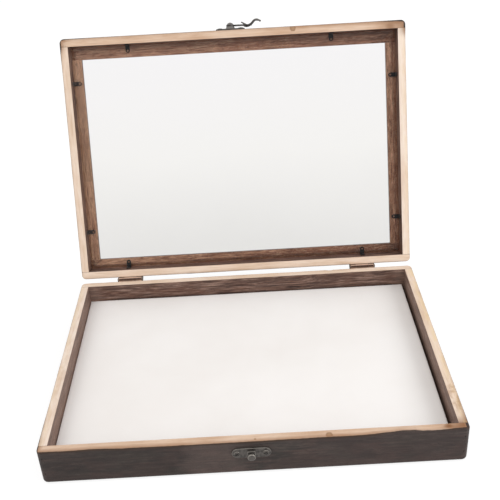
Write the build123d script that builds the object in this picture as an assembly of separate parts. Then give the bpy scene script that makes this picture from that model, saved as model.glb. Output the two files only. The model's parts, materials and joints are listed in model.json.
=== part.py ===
from build123d import *
from math import cos, hypot, radians, sin
import os

# Specimen display case: wooden tray with a pinning bed and a hinged, glazed lid.
# Millimetres. The origin is the centre of the tray's underside, +Z is up,
# -Y is the latch side and +X is to the right as the latch side is faced.
# The lid is built closed on the tray and then turned open about the hinge pins.

# Wooden case
case_width = 340.0
case_depth = 242.0
tray_height = 33.8
lid_height = 22.0
board_thickness = 7.7
corner_radius = 4.5
edge_radius = 3.5
rim_radius = 1.1
seam_gap = 0.2
lid_open_angle = 110.3

# Scallop chipped out of the tray's rear rim
chip_x = 86.0
chip_radius = 9.0
chip_depth = 1.4

# Bottom panel, let into a rabbet from below
panel_thickness = 4.0
panel_bearing = 3.5
panel_clearance = 0.15

# Pinning bed of foam, cut a little short on the right
foam_thickness = 12.3
foam_edge_gap = 0.3
foam_right_gap = 2.5
foam_edge_round = 0.6

# Lip strips and glass in the lid
lip_thickness = 5.0
lip_width_front = 12.3
lip_width_rear = 9.5
lip_width_side = 9.6
lip_bevel = 0.5
glass_thickness = 2.0
glass_edge_gap = 0.6
glass_bevel = 0.25

# Nails in the corner joints and brads under the panel
nail_radius = 0.6
nail_length = 19.0
nail_set = 0.2
nail_end_distance = 7.0
brad_radius = 0.5
brad_length = 10.0
brads_per_long_side = 4
brads_per_short_side = 3
hole_clearance = 0.05

# Clips that hold the pane; places are shares of the rail's half length from its middle
clip_width = 4.2
clip_thickness = 0.8
clip_foot = 8.0
clip_leg = 7.0
clip_eye_radius = 0.95
clip_leg_corner = 1.25
clip_pin_radius = 0.55
clip_pin_length = 5.5
clip_pin_head_radius = 1.35
clip_pin_head_height = 0.7
clip_places_front = (-0.65, 0.604)
clip_places_rear = (-0.754, 0.754)
clip_places_left = (-0.685, 0.651)
clip_places_right = (-0.611, 0.664)

# Hinges
hinge_end_distance = 37.3
hinge_width = 25.4
hinge_leaf_height = 10.5
hinge_leaf_thickness = 1.0
hinge_leaf_corner = 1.6
hinge_pin_setback = 2.2
hinge_barrel_radius = 2.05
hinge_pin_radius = 0.9
hinge_pin_head_radius = 1.35
hinge_pin_head_flat = 0.8
hinge_pin_head_height = 0.5
tray_knuckle_length = 6.2
knuckle_gap = 0.25
pin_running_clearance = 0.05
pin_fixed_clearance = 0.01
hinge_screw_spacing = 14.0
hinge_screw_drop = 6.9
stop_ear_thickness = 1.2
stop_ear_reach = 6.2
stop_ear_depth = 5.8
stop_clearance = 0.1

# Small screws with round slotted heads
screw_head_radius = 1.75
screw_head_height = 0.9
screw_shank_radius = 0.95
screw_length = 6.0
screw_tip_length = 1.8
screw_tip_radius = 0.15
screw_rim_height = 0.27
screw_slot_width = 0.5
screw_slot_depth = 0.45
screw_slot_angle = 25.0

# Latch and catch on the front faces
latch_x = -1.7
latch_rise = 6.2
catch_drop = 11.0
plate_thickness = 1.2
plate_width = 9.6
plate_edge_round = 0.35
latch_plate_length = 28.4
latch_screw_spacing = 20.4
catch_plate_length = 31.0
catch_screw_spacing = 22.6
screw_ring_height = 0.6
screw_ring_width = 0.7
screw_ring_bevel = 0.28
peg_collar_width = 6.4
peg_collar_height = 5.4
peg_collar_thickness = 1.5
peg_collar_round = 0.8
peg_collar_edge_round = 0.4
peg_neck_radius = 1.6
peg_head_radius = 3.3
peg_head_thickness = 1.5
peg_head_round = 0.9
peg_tail_radius = 1.2
peg_tail_length = 5.0

# Swing hook
hook_thickness = 1.5
hook_standoff = 3.3
hook_eye_radius = 3.8
hook_arm_root_width = 3.6
hook_claw_width = 2.4
hook_arm_join_angle = 145.0
hook_mouth_clearance = 0.3
hook_beak_length = 3.0
hook_play = 0.1
horn_radius = 1.4
horn_tip_radius = 1.0
spur_radius = 1.0
spur_tip_radius = 0.6

# Middle lines of the horn and the spur, from the mouth's centre at the hook's mid thickness
horn_path = (
    (-3.0, 3.2, -0.1),
    (0.4, 4.6, -0.3),
    (2.8, 4.4, 0.6),
    (5.2, 3.0, 2.6),
    (7.4, 1.6, 4.4),
    (9.6, 0.7, 4.5),
    (12.4, 0.2, 3.3),
)
spur_path = ((-0.9, 3.7, 0.0), (-3.6, 4.3, 1.8), (-5.8, 4.3, 3.1))

# The rivet and washer that the hook turns on
rivet_radius = 1.5
rivet_head_radius = 3.4
rivet_head_height = 2.2
rivet_tail_length = 4.0
washer_radius = 4.7
washer_top_radius = 3.7

# How far a cut runs past the piece that it is taken out of, and how near an edge is to its level
cut_margin = 1.0
level_match = 0.001

# Levels and places worked out from the sizes above
half_width = case_width / 2
half_depth = case_depth / 2
inner_half_width = half_width - board_thickness
inner_half_depth = half_depth - board_thickness
foam_top = panel_thickness + foam_thickness
lid_bottom = tray_height + seam_gap
lid_top = tray_height + lid_height
lip_bottom = lid_top - lip_thickness
glass_bottom = lip_bottom - glass_thickness
hinge_axis = Axis((0, half_depth + hinge_pin_setback, tray_height), (1, 0, 0))
hinge_x = half_width - hinge_end_distance - hinge_width / 2
hinge_places = (("left", -hinge_x), ("right", hinge_x))
screw_hole_radius = screw_shank_radius + hole_clearance
hook_reach = latch_rise + catch_drop
hook_outer_face = hook_standoff + hook_thickness
mouth_radius = peg_neck_radius + hook_mouth_clearance
claw_radius = mouth_radius + hook_claw_width
peg_head_standoff = hook_outer_face + 2 * hook_mouth_clearance
tray_plane = Plane((latch_x, -half_depth, tray_height - catch_drop), x_dir=(1, 0, 0), z_dir=(0, -1, 0))
latch_plane = Plane((latch_x, -half_depth, tray_height + latch_rise), x_dir=(1, 0, 0), z_dir=(0, -1, 0))

nodes = {}


def keep(name, shape):
    """Keep a piece of the tray under its name."""
    nodes[name] = shape


def keep_on_lid(name, shape):
    """Keep a piece of the lid under its name, turned from closed to open."""
    nodes[name] = shape.rotate(hinge_axis, -lid_open_angle)


def group(solids):
    """Several separate solids as one node."""
    return Compound(children=list(solids))


def spaced(count, length):
    """Evenly spaced places along a length, centred on zero."""
    step = length / count
    return [step * (index + 0.5) - length / 2 for index in range(count)]


def span_box(low, high):
    """A box from its low corner to its high corner."""
    size = [b - a for a, b in zip(low, high)]
    middle = [(a + b) / 2 for a, b in zip(low, high)]
    return Pos(*middle) * Box(*size)


def edges_at(shape, level):
    """The edges that lie wholly at one height."""
    return shape.edges().filter_by_position(Axis.Z, level - level_match, level + level_match)


def rod(start, direction, radius, length):
    """A round rod from a point along a direction."""
    return Plane(start, z_dir=direction) * Cylinder(
        radius, length, align=(Align.CENTER, Align.CENTER, Align.MIN)
    )


def case_block(low, high, edge_level, rim_level):
    """The outside of the tray or lid: round corners, a round edge and an eased rim."""
    block = span_box((-half_width, -half_depth, low), (half_width, half_depth, high))
    block = fillet(block.edges().filter_by(Axis.Z), corner_radius)
    block = fillet(edges_at(block, edge_level), edge_radius)
    return fillet(edges_at(block, rim_level), rim_radius)


def cut_into_boards(frame, low, high):
    """Split a frame at its butt joints: the front and rear boards run full width."""
    whole = half_width + board_thickness
    deep = half_depth + board_thickness
    spans = {
        "front": ((-whole, -deep), (whole, -inner_half_depth)),
        "rear": ((-whole, inner_half_depth), (whole, deep)),
        "left": ((-whole, -inner_half_depth), (-inner_half_width, inner_half_depth)),
        "right": ((inner_half_width, -inner_half_depth), (whole, inner_half_depth)),
    }
    return {
        side: frame & span_box((*first, low - cut_margin), (*last, high + cut_margin))
        for side, (first, last) in spans.items()
    }


def corner_nail_lines(levels):
    """Start points and directions of the nails through the front and rear boards."""
    lines = []
    for side in (-1, 1):
        x = side * (half_width - board_thickness / 2)
        for face in (-1, 1):
            for level in levels:
                lines.append(((x, face * (half_depth - nail_set), level), (0, -face, 0)))
    return lines


def drill(shape, lines, radius, length):
    """Take round holes out of a piece, each from a point along a direction."""
    for start, direction in lines:
        shape = shape - rod(start, direction, radius, length)
    return shape


def drill_nail_holes(shape, lines):
    """Nail holes that run out to the face which the nail is set below."""
    for start, direction in lines:
        outside = tuple(s - cut_margin * d for s, d in zip(start, direction))
        deep = nail_length + cut_margin + hole_clearance
        shape = shape - rod(outside, direction, nail_radius + hole_clearance, deep)
    return shape


def panel_brad_lines():
    """Start points and directions of the brads that hold the bottom panel."""
    side_x = inner_half_width + panel_bearing / 2
    side_y = inner_half_depth + panel_bearing / 2
    along_x = spaced(brads_per_long_side, 2 * inner_half_width)
    along_y = spaced(brads_per_short_side, 2 * inner_half_depth)
    places = [(x, y) for y in (-side_y, side_y) for x in along_x]
    places += [(x, y) for x in (-side_x, side_x) for y in along_y]
    return [((x, y, nail_set), (0, 0, 1)) for x, y in places]


def dome(radius, height):
    """A cap of a ball that stands on its flat side."""
    ball_radius = (radius**2 + height**2) / (2 * height)
    ball = Pos(0, 0, height - ball_radius) * Sphere(ball_radius)
    return ball & Cylinder(radius, height, align=(Align.CENTER, Align.CENTER, Align.MIN))


def wood_screw(plane):
    """A round-head slotted screw whose head sits on a plane and whose tip points into it."""
    rim = Cylinder(screw_head_radius, screw_rim_height, align=(Align.CENTER, Align.CENTER, Align.MIN))
    crown = Pos(0, 0, screw_rim_height) * dome(screw_head_radius, screw_head_height - screw_rim_height)
    straight = screw_length - screw_tip_length
    shank = Pos(0, 0, -straight / 2) * Cylinder(screw_shank_radius, straight)
    tip = Pos(0, 0, -straight - screw_tip_length / 2) * Cone(
        screw_tip_radius, screw_shank_radius, screw_tip_length
    )
    slot_length = 2 * (screw_head_radius + cut_margin)
    slot = Pos(0, 0, screw_head_height) * Box(slot_length, screw_slot_width, 2 * screw_slot_depth)
    return plane * Rot(0, 0, screw_slot_angle) * (rim + crown + shank + tip - slot)


def faced(face_y, outward, x, z):
    """A plane on a front or rear face, with its normal pointing out of the wood."""
    return Plane((x, face_y, z), x_dir=(-outward, 0, 0), z_dir=(0, outward, 0))


def pilot_holes(shape, planes):
    """Screw holes in the wood behind some planes."""
    deep = screw_length + hole_clearance
    hole = Cylinder(screw_hole_radius, deep, align=(Align.CENTER, Align.CENTER, Align.MAX))
    for plane in planes:
        shape = shape - plane * hole
    return shape


# Places of the screws in the wood, each as a plane on the face of the wood
def hinge_screw_planes(x, z):
    return [
        faced(half_depth, 1, x + side * hinge_screw_spacing / 2, z) for side in (-1, 1)
    ]


def plate_screw_planes(plane, spacing):
    return [Plane(plane.location * Pos(side * spacing / 2, 0, 0)) for side in (-1, 1)]


def lifted(planes, height):
    return [plane.offset(height) for plane in planes]


tray_hinge_screws = {
    side: hinge_screw_planes(x, tray_height - hinge_screw_drop) for side, x in hinge_places
}
lid_hinge_screws = {
    side: hinge_screw_planes(x, tray_height + hinge_screw_drop) for side, x in hinge_places
}
catch_screws = plate_screw_planes(tray_plane, catch_screw_spacing)
latch_screws = plate_screw_planes(latch_plane, latch_screw_spacing)


# Tray boards
tray_nails = corner_nail_lines((nail_end_distance + panel_thickness, tray_height - nail_end_distance))
tray_frame = case_block(0, tray_height, 0, tray_height)
tray_frame = tray_frame - span_box(
    (-inner_half_width, -inner_half_depth, -cut_margin),
    (inner_half_width, inner_half_depth, tray_height + cut_margin),
)
tray_frame = tray_frame - span_box(
    (-inner_half_width - panel_bearing, -inner_half_depth - panel_bearing, -cut_margin),
    (inner_half_width + panel_bearing, inner_half_depth + panel_bearing, panel_thickness),
)
chip_out = (chip_radius - chip_depth) * sin(radians(45))
chip_centre = (chip_x, half_depth + chip_out, tray_height + chip_out)
tray_frame = tray_frame - Pos(*chip_centre) * Sphere(chip_radius)
tray_frame = drill_nail_holes(tray_frame, tray_nails)
tray_frame = drill(tray_frame, panel_brad_lines(), brad_radius + hole_clearance, brad_length)
tray_boards = cut_into_boards(tray_frame, 0, tray_height)
tray_boards["front"] = pilot_holes(tray_boards["front"], catch_screws)
tray_boards["front"] = tray_boards["front"] - tray_plane * Cylinder(
    peg_tail_radius + hole_clearance, 2 * peg_tail_length
)
for side, planes in tray_hinge_screws.items():
    tray_boards["rear"] = pilot_holes(tray_boards["rear"], planes)
for side, board in tray_boards.items():
    keep(f"tray_{side}_board", board)
keep("tray_corner_nails", group(rod(start, way, nail_radius, nail_length) for start, way in tray_nails))


# Bottom panel and its brads
panel_half_width = inner_half_width + panel_bearing - panel_clearance
panel_half_depth = inner_half_depth + panel_bearing - panel_clearance
bottom_panel = span_box(
    (-panel_half_width, -panel_half_depth, 0),
    (panel_half_width, panel_half_depth, panel_thickness),
)
for (x, y, z), way in panel_brad_lines():
    deep = panel_thickness + 2 * cut_margin
    bottom_panel = bottom_panel - rod((x, y, -cut_margin), way, brad_radius + hole_clearance, deep)
keep("bottom_panel", bottom_panel)
keep(
    "bottom_panel_brads",
    group(rod(start, way, brad_radius, brad_length - 2 * nail_set) for start, way in panel_brad_lines()),
)


# Pinning bed: it lies on the panel and fills the tray but for its edge gaps
foam = span_box(
    (-inner_half_width + foam_edge_gap, -inner_half_depth + foam_edge_gap, panel_thickness),
    (inner_half_width - foam_right_gap, inner_half_depth - foam_edge_gap, foam_top),
)
keep("pinning_foam", fillet(edges_at(foam, foam_top), foam_edge_round))


# Lid rails, the same way as the tray boards
lid_nails = corner_nail_lines((tray_height + nail_end_distance, lid_top - nail_end_distance))
lid_frame = case_block(lid_bottom, lid_top, lid_top, lid_bottom)
lid_frame = lid_frame - span_box(
    (-inner_half_width, -inner_half_depth, lid_bottom - cut_margin),
    (inner_half_width, inner_half_depth, lid_top + cut_margin),
)
lid_frame = drill_nail_holes(lid_frame, lid_nails)
lid_rails = cut_into_boards(lid_frame, lid_bottom, lid_top)
lid_rails["front"] = pilot_holes(lid_rails["front"], latch_screws)
lid_rails["front"] = lid_rails["front"] - latch_plane * Cylinder(
    rivet_radius + hole_clearance, 2 * rivet_tail_length
)
for side, planes in lid_hinge_screws.items():
    lid_rails["rear"] = pilot_holes(lid_rails["rear"], planes)


# Lip strips: the front and rear ones run full width, the side ones lie between them
lip_front_edge = -inner_half_depth + lip_width_front
lip_rear_edge = inner_half_depth - lip_width_rear
lip_side_edge = inner_half_width - lip_width_side
lip_spans = {
    "front": ((-inner_half_width, -inner_half_depth), (inner_half_width, lip_front_edge), Axis.X),
    "rear": ((-inner_half_width, lip_rear_edge), (inner_half_width, inner_half_depth), Axis.X),
    "left": ((-inner_half_width, lip_front_edge), (-lip_side_edge, lip_rear_edge), Axis.Y),
    "right": ((lip_side_edge, lip_front_edge), (inner_half_width, lip_rear_edge), Axis.Y),
}


def lip_strip(side):
    """A strip whose top edge at the window is bevelled."""
    first, last, run = lip_spans[side]
    strip = span_box((*first, lip_bottom), (*last, lid_top))
    window_edges = edges_at(strip, lid_top).filter_by(run)
    toward_middle = window_edges.sort_by(lambda edge: hypot(edge.center().X, edge.center().Y))[0]
    return chamfer(toward_middle, lip_bevel)


for side in lip_spans:
    keep_on_lid(f"lip_{side}_strip", lip_strip(side))


# Glass pane between the strips and the clips
pane = span_box(
    (-inner_half_width + glass_edge_gap, -inner_half_depth + glass_edge_gap, glass_bottom),
    (inner_half_width - glass_edge_gap, inner_half_depth - glass_edge_gap, lip_bottom),
)
pane = chamfer(edges_at(pane, glass_bottom), glass_bevel)
keep_on_lid("glass_pane", chamfer(edges_at(pane, lip_bottom), glass_bevel))


# Clips: a foot with an eye lies on the pane and a leg is pinned to the rail
clip_foot_bottom = glass_bottom - clip_thickness
clip_pin_drop = clip_leg / 2 + clip_thickness / 2


def clip_planes():
    """Each clip's name and plane: on the rail's face at the foot, X along the rail, Z into the lid."""
    rows = (
        ("front", clip_places_front, (0, 1, 0)),
        ("rear", clip_places_rear, (0, -1, 0)),
        ("left", clip_places_left, (1, 0, 0)),
        ("right", clip_places_right, (-1, 0, 0)),
    )
    for side, places, inward in rows:
        along = Vector(*inward).cross(Vector(0, 0, 1))
        for number, share in enumerate(places, start=1):
            x = share * inner_half_width if inward[1] else -inward[0] * inner_half_width
            y = share * inner_half_depth if inward[0] else -inward[1] * inner_half_depth
            corner = (x, y, clip_foot_bottom)
            yield side, f"glass_clip_{side}_{number}", Plane(corner, x_dir=along, z_dir=inward)


def glass_clip():
    """A bent tab: Z runs along the foot away from the rail, Y down the leg."""
    half = clip_width / 2
    foot = span_box((-half, -clip_thickness, 0), (half, 0, clip_foot - half))
    end = Plane((0, 0, clip_foot - half), x_dir=(1, 0, 0), z_dir=(0, 1, 0))
    foot = foot + end * Cylinder(half, clip_thickness, align=(Align.CENTER, Align.CENTER, Align.MAX))
    foot = foot - end * Cylinder(clip_eye_radius, 2 * (clip_thickness + cut_margin))
    leg = span_box((-half, -clip_thickness, 0), (half, clip_leg, clip_thickness))
    leg_corners = leg.edges().filter_by(Axis.Z).group_by(Axis.Y)[-1]
    leg = fillet(leg_corners, clip_leg_corner)
    hole = Cylinder(clip_pin_radius + hole_clearance, 2 * (clip_thickness + cut_margin))
    return foot + leg - Pos(0, clip_pin_drop, 0) * hole


def clip_pin():
    """A round-head pin through the clip's leg into the rail."""
    head = dome(clip_pin_head_radius, clip_pin_head_height)
    shank = Cylinder(clip_pin_radius, clip_pin_length, align=(Align.CENTER, Align.CENTER, Align.MAX))
    return Pos(0, clip_pin_drop, clip_thickness) * (head + shank)


clip_pins = []
for side, name, plane in clip_planes():
    keep_on_lid(name, plane * glass_clip())
    clip_pins.append(plane * clip_pin())
    pin_hole = Cylinder(clip_pin_radius + hole_clearance, 2 * clip_pin_length)
    lid_rails[side] = lid_rails[side] - plane * Pos(0, clip_pin_drop, 0) * pin_hole
keep_on_lid("glass_clip_pins", group(clip_pins))
for side, rail in lid_rails.items():
    keep_on_lid(f"lid_{side}_rail", rail)
keep_on_lid(
    "lid_corner_nails",
    group(rod(start, way, nail_radius, nail_length) for start, way in lid_nails),
)


# Hinges: a frame with X along the pin, Y out of the rear face and Z up, its origin on the pin
leaf_back = -hinge_pin_setback
leaf_front = leaf_back + hinge_leaf_thickness
knuckle_clear = hinge_barrel_radius + knuckle_gap
lid_knuckle_length = hinge_width - 2 * (tray_knuckle_length + knuckle_gap)
knuckle_middle = (hinge_width - tray_knuckle_length) / 2


def along_pin(x, radius, length):
    """A round bar on the pin's line."""
    return Pos(x, 0, 0) * Rot(0, 90, 0) * Cylinder(radius, length)


def leaf_plate(direction, arms):
    """The flat of a leaf, below the pin (-1) or above it (1), with arms that reach its knuckles."""
    near, far = sorted((direction * knuckle_clear, direction * hinge_leaf_height))
    half = hinge_width / 2
    plate = span_box((-half, leaf_back, near), (half, leaf_front, far))
    corners = plate.edges().filter_by(Axis.Y).group_by(Axis.Z)[0 if direction < 0 else -1]
    plate = fillet(corners, hinge_leaf_corner)
    for x, length in arms:
        low, high = sorted((0, direction * knuckle_clear))
        plate = plate + span_box((x - length / 2, leaf_back, low), (x + length / 2, leaf_front, high))
    hole = Rot(90, 0, 0) * Cylinder(screw_hole_radius, 2 * (hinge_pin_setback + cut_margin))
    for side in (-1, 1):
        plate = plate - Pos(side * hinge_screw_spacing / 2, 0, direction * hinge_screw_drop) * hole
    return plate


def stop_ear(x):
    """A gusset on the tray leaf that meets the flat of the open lid leaf."""
    lean = radians(lid_open_angle - 90)
    rest_distance = -leaf_front - stop_clearance

    def rest_height(y):
        return (rest_distance - y * sin(lean)) / cos(lean)

    near_y = leaf_front + hinge_leaf_thickness
    outline = [
        (leaf_back + hinge_leaf_thickness / 2, -stop_ear_depth),
        (stop_ear_reach, rest_height(stop_ear_reach) - hinge_leaf_thickness),
        (stop_ear_reach, rest_height(stop_ear_reach)),
        (near_y, rest_height(near_y)),
        (leaf_back + hinge_leaf_thickness / 2, 0),
    ]
    side_plane = Plane((x, 0, 0), x_dir=(0, 1, 0), z_dir=(1, 0, 0))
    face = make_face(Polyline(*outline, close=True))
    return extrude(side_plane * face, stop_ear_thickness / 2, both=True)


def tray_leaf():
    """The lower leaf: two outer knuckles that hold the pin fast, and a stop ear at each end."""
    leaf = leaf_plate(-1, [(side * knuckle_middle, tray_knuckle_length) for side in (-1, 1)])
    for side in (-1, 1):
        leaf = leaf + along_pin(side * knuckle_middle, hinge_barrel_radius, tray_knuckle_length)
        leaf = leaf + stop_ear(side * (hinge_width - stop_ear_thickness) / 2)
    return leaf - along_pin(0, hinge_pin_radius + pin_fixed_clearance, hinge_width + 2 * cut_margin)


def lid_leaf():
    """The upper leaf: one middle knuckle that turns on the pin."""
    leaf = leaf_plate(1, [(0, lid_knuckle_length)])
    leaf = leaf + along_pin(0, hinge_barrel_radius, lid_knuckle_length)
    return leaf - along_pin(0, hinge_pin_radius + pin_running_clearance, hinge_width)


def hinge_pin():
    """A pin whose two ends are headed over."""
    pin = along_pin(0, hinge_pin_radius, hinge_width)
    head = Cone(hinge_pin_head_radius, hinge_pin_head_flat, hinge_pin_head_height)
    for side in (-1, 1):
        middle = side * (hinge_width + hinge_pin_head_height) / 2
        pin = pin + Pos(middle, 0, 0) * Rot(0, side * 90, 0) * head
    return pin


for side, x in hinge_places:
    at_pin = Pos(x, half_depth + hinge_pin_setback, tray_height)
    keep(f"hinge_{side}_tray_leaf", at_pin * tray_leaf())
    keep(f"hinge_{side}_pin", at_pin * hinge_pin())
    keep_on_lid(f"hinge_{side}_lid_leaf", at_pin * lid_leaf())
    keep(
        f"hinge_{side}_tray_screws",
        group(wood_screw(plane) for plane in lifted(tray_hinge_screws[side], hinge_leaf_thickness)),
    )
    keep_on_lid(
        f"hinge_{side}_lid_screws",
        group(wood_screw(plane) for plane in lifted(lid_hinge_screws[side], hinge_leaf_thickness)),
    )


# Latch plate and catch plate: round-ended plates with a raised ring round each screw
def end_plate(length, spacing, centre_radius):
    plate = extrude(SlotOverall(length, plate_width), plate_thickness)
    plate = fillet(edges_at(plate, plate_thickness), plate_edge_round)
    well_radius = screw_head_radius + hole_clearance
    ring = Cylinder(well_radius + screw_ring_width, 2 * screw_ring_height)
    ring = chamfer(ring.edges().sort_by(Axis.Z)[-1], screw_ring_bevel)
    well_depth = screw_ring_height + cut_margin
    well = Cylinder(well_radius, well_depth, align=(Align.CENTER, Align.CENTER, Align.MIN))
    hole = Cylinder(screw_hole_radius, 2 * (plate_thickness + cut_margin))
    for side in (-1, 1):
        place = Pos(side * spacing / 2, 0, plate_thickness)
        plate = plate + place * ring
        plate = plate - place * well
        plate = plate - place * hole
    centre = Cylinder(centre_radius + hole_clearance, 2 * (plate_thickness + cut_margin))
    return plate - centre


catch_plate = end_plate(catch_plate_length, catch_screw_spacing, peg_tail_radius)
latch_plate = end_plate(latch_plate_length, latch_screw_spacing, rivet_radius)
keep("catch_plate", tray_plane * catch_plate)
keep("catch_plate_screws", group(wood_screw(plane) for plane in lifted(catch_screws, plate_thickness)))
keep_on_lid("latch_plate", latch_plane * latch_plate)
keep_on_lid(
    "latch_plate_screws",
    group(wood_screw(plane) for plane in lifted(latch_screws, plate_thickness)),
)


def catch_peg():
    """A square collar, a neck and a round head, with a tail driven through the plate."""
    collar = extrude(Rectangle(peg_collar_width, peg_collar_height), peg_collar_thickness)
    collar = fillet(collar.edges().filter_by(Axis.Z), peg_collar_round)
    collar = fillet(edges_at(collar, peg_collar_thickness), peg_collar_edge_round)
    neck_length = peg_head_standoff - plate_thickness
    neck = Cylinder(peg_neck_radius, neck_length, align=(Align.CENTER, Align.CENTER, Align.MIN))
    head = Cylinder(peg_head_radius, peg_head_thickness, align=(Align.CENTER, Align.CENTER, Align.MIN))
    head = fillet(edges_at(head, peg_head_thickness), peg_head_round)
    tail = Cylinder(peg_tail_radius, peg_tail_length, align=(Align.CENTER, Align.CENTER, Align.MAX))
    return Pos(0, 0, plate_thickness) * (collar + neck + Pos(0, 0, neck_length) * head + tail)


keep("catch_peg", tray_plane * catch_peg())


# Swing hook: a frame with X from the rivet to the mouth, Z out of the lid's face
def tapered_rod(points, root_radius, tip_radius):
    """A curved rod through some points that narrows to a round tip."""
    path = Spline(*points)
    sections = []
    for step in range(len(points) + 2):
        share = step / (len(points) + 1)
        radius = root_radius + (tip_radius - root_radius) * share
        sections.append(Plane(path @ share, z_dir=path % share) * Circle(radius))
    return loft(sections) + Pos(*(path @ 1)) * Sphere(tip_radius)


def latch_hook():
    """Eye, arm, claw round the peg's neck, raised horn and spur."""
    eye = Circle(hook_eye_radius)
    claw = Pos(hook_reach, 0) * (Circle(claw_radius) - Circle(mouth_radius))
    inside = hook_reach + mouth_radius
    far = 2 * claw_radius
    way_in = [(inside, 0), (inside, -far), (hook_reach - far, -far), (hook_reach - far, 0)]
    claw = claw - make_face(Polyline(*way_in, close=True))
    claw = claw - Pos(inside, -hook_beak_length - far) * Rectangle(far, 2 * far)
    join = radians(hook_arm_join_angle)
    arm = [
        (0, hook_arm_root_width / 2),
        (hook_reach + claw_radius * cos(join), claw_radius * sin(join)),
        (hook_reach - mouth_radius - hook_claw_width / 2, 0),
        (hook_reach - claw_radius, 0),
        (0, -hook_arm_root_width / 2),
    ]
    outline = eye + make_face(Polyline(*arm, close=True)) + claw
    outline = outline - Circle(rivet_radius + hole_clearance)
    body = Pos(0, 0, hook_standoff) * extrude(outline, hook_thickness)
    at_mouth = Pos(hook_reach, 0, hook_standoff + hook_thickness / 2)
    horn = at_mouth * tapered_rod(horn_path, horn_radius, horn_tip_radius)
    spur = at_mouth * tapered_rod(spur_path, spur_radius, spur_tip_radius)
    return body + horn + spur


def latch_rivet():
    """A domed rivet head over the hook's eye, with a shank into the lid rail."""
    head_level = hook_outer_face + hook_play
    shank_length = head_level + rivet_tail_length
    shank = Cylinder(rivet_radius, shank_length, align=(Align.CENTER, Align.CENTER, Align.MAX))
    return Pos(0, 0, head_level) * (dome(rivet_head_radius, rivet_head_height) + shank)


def latch_washer():
    """A tapered washer that carries the hook clear of the plate."""
    height = hook_standoff - hook_play - plate_thickness
    washer = Cone(washer_radius, washer_top_radius, height, align=(Align.CENTER, Align.CENTER, Align.MIN))
    hole = Cylinder(rivet_radius + hole_clearance, 2 * (height + cut_margin))
    return Pos(0, 0, plate_thickness) * (washer - hole)


keep_on_lid("latch_hook", latch_plane * latch_hook())
keep_on_lid("latch_rivet", latch_plane * latch_rivet())
keep_on_lid("latch_washer", latch_plane * latch_washer())

os.makedirs("parts", exist_ok=True)
for name, shape in nodes.items():
    export_step(shape, f"parts/{name}.step")
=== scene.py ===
import json
from collections import namedtuple
from math import cos, exp, pi, radians, sin
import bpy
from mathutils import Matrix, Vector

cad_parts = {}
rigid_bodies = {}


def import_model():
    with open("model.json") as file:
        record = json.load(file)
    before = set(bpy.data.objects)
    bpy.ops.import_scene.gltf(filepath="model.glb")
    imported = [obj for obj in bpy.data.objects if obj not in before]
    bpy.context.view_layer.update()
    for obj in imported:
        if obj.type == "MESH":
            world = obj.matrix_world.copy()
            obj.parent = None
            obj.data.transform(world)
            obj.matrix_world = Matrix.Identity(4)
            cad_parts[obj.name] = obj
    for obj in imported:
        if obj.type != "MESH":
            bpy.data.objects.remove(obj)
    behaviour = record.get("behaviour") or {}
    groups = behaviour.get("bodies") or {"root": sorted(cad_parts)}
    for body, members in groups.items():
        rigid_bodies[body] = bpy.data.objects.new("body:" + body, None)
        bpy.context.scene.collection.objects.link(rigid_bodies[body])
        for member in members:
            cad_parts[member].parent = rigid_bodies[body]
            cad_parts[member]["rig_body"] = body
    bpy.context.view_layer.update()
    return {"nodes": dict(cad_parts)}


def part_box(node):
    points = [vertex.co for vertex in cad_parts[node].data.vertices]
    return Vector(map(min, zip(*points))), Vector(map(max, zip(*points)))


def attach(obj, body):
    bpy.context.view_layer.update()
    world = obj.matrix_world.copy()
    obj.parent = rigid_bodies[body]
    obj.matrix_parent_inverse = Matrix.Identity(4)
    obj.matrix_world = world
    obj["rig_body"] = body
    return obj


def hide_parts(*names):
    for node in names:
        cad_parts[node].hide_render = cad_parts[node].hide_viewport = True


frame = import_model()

from types import SimpleNamespace

import bmesh
import bpy
from mathutils import Matrix, Vector, noise

NODES = frame["nodes"]
MM = 0.001

# Sizes of the case in millimetres, with the lid closed on the tray
HALF_WIDTH = 170.0
HALF_DEPTH = 121.0
BOARD = 7.7
INNER_X = HALF_WIDTH - BOARD
INNER_Y = HALF_DEPTH - BOARD
TRAY_RIM = 33.8
BED_TOP = 16.3
LID_RIM = 34.0
LID_TOP = 55.8
LIP_BOTTOM = 50.8
HINGE_Y = 123.2
HINGE_X = 120.0
BARREL_RADIUS = 2.05
LID_OPEN = radians(110.3)


# Colours and places

def srgb(r, g, b):
    """A colour as it should look on screen, from 0-255 values, as a linear RGBA."""
    def linear(v):
        v /= 255
        return v / 12.92 if v <= 0.04045 else ((v + 0.055) / 1.055) ** 2.4
    return (linear(r), linear(g), linear(b), 1.0)


def stops(places, *colours):
    """The stops of a colour ramp."""
    return tuple(zip(places, (srgb(*colour) for colour in colours)))


def closed_place(point):
    """A point of the open lid in metres, as it is with the lid closed, in millimetres."""
    y, z = point.y / MM - HINGE_Y, point.z / MM - TRAY_RIM
    return Vector((
        point.x / MM,
        HINGE_Y + y * cos(LID_OPEN) - z * sin(LID_OPEN),
        TRAY_RIM + y * sin(LID_OPEN) + z * cos(LID_OPEN),
    ))


def open_place(point):
    """The opposite of closed_place."""
    y, z = point.y - HINGE_Y, point.z - TRAY_RIM
    return Vector((
        point.x,
        HINGE_Y + y * cos(LID_OPEN) + z * sin(LID_OPEN),
        TRAY_RIM - y * sin(LID_OPEN) + z * cos(LID_OPEN),
    )) * MM


# Nodes

Place = namedtuple("Place", "vector x y z")
Grain = namedtuple("Grain", "tone coarse fine")
HINGE_AXIS = (0, HINGE_Y * MM, TRAY_RIM * MM)


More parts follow.
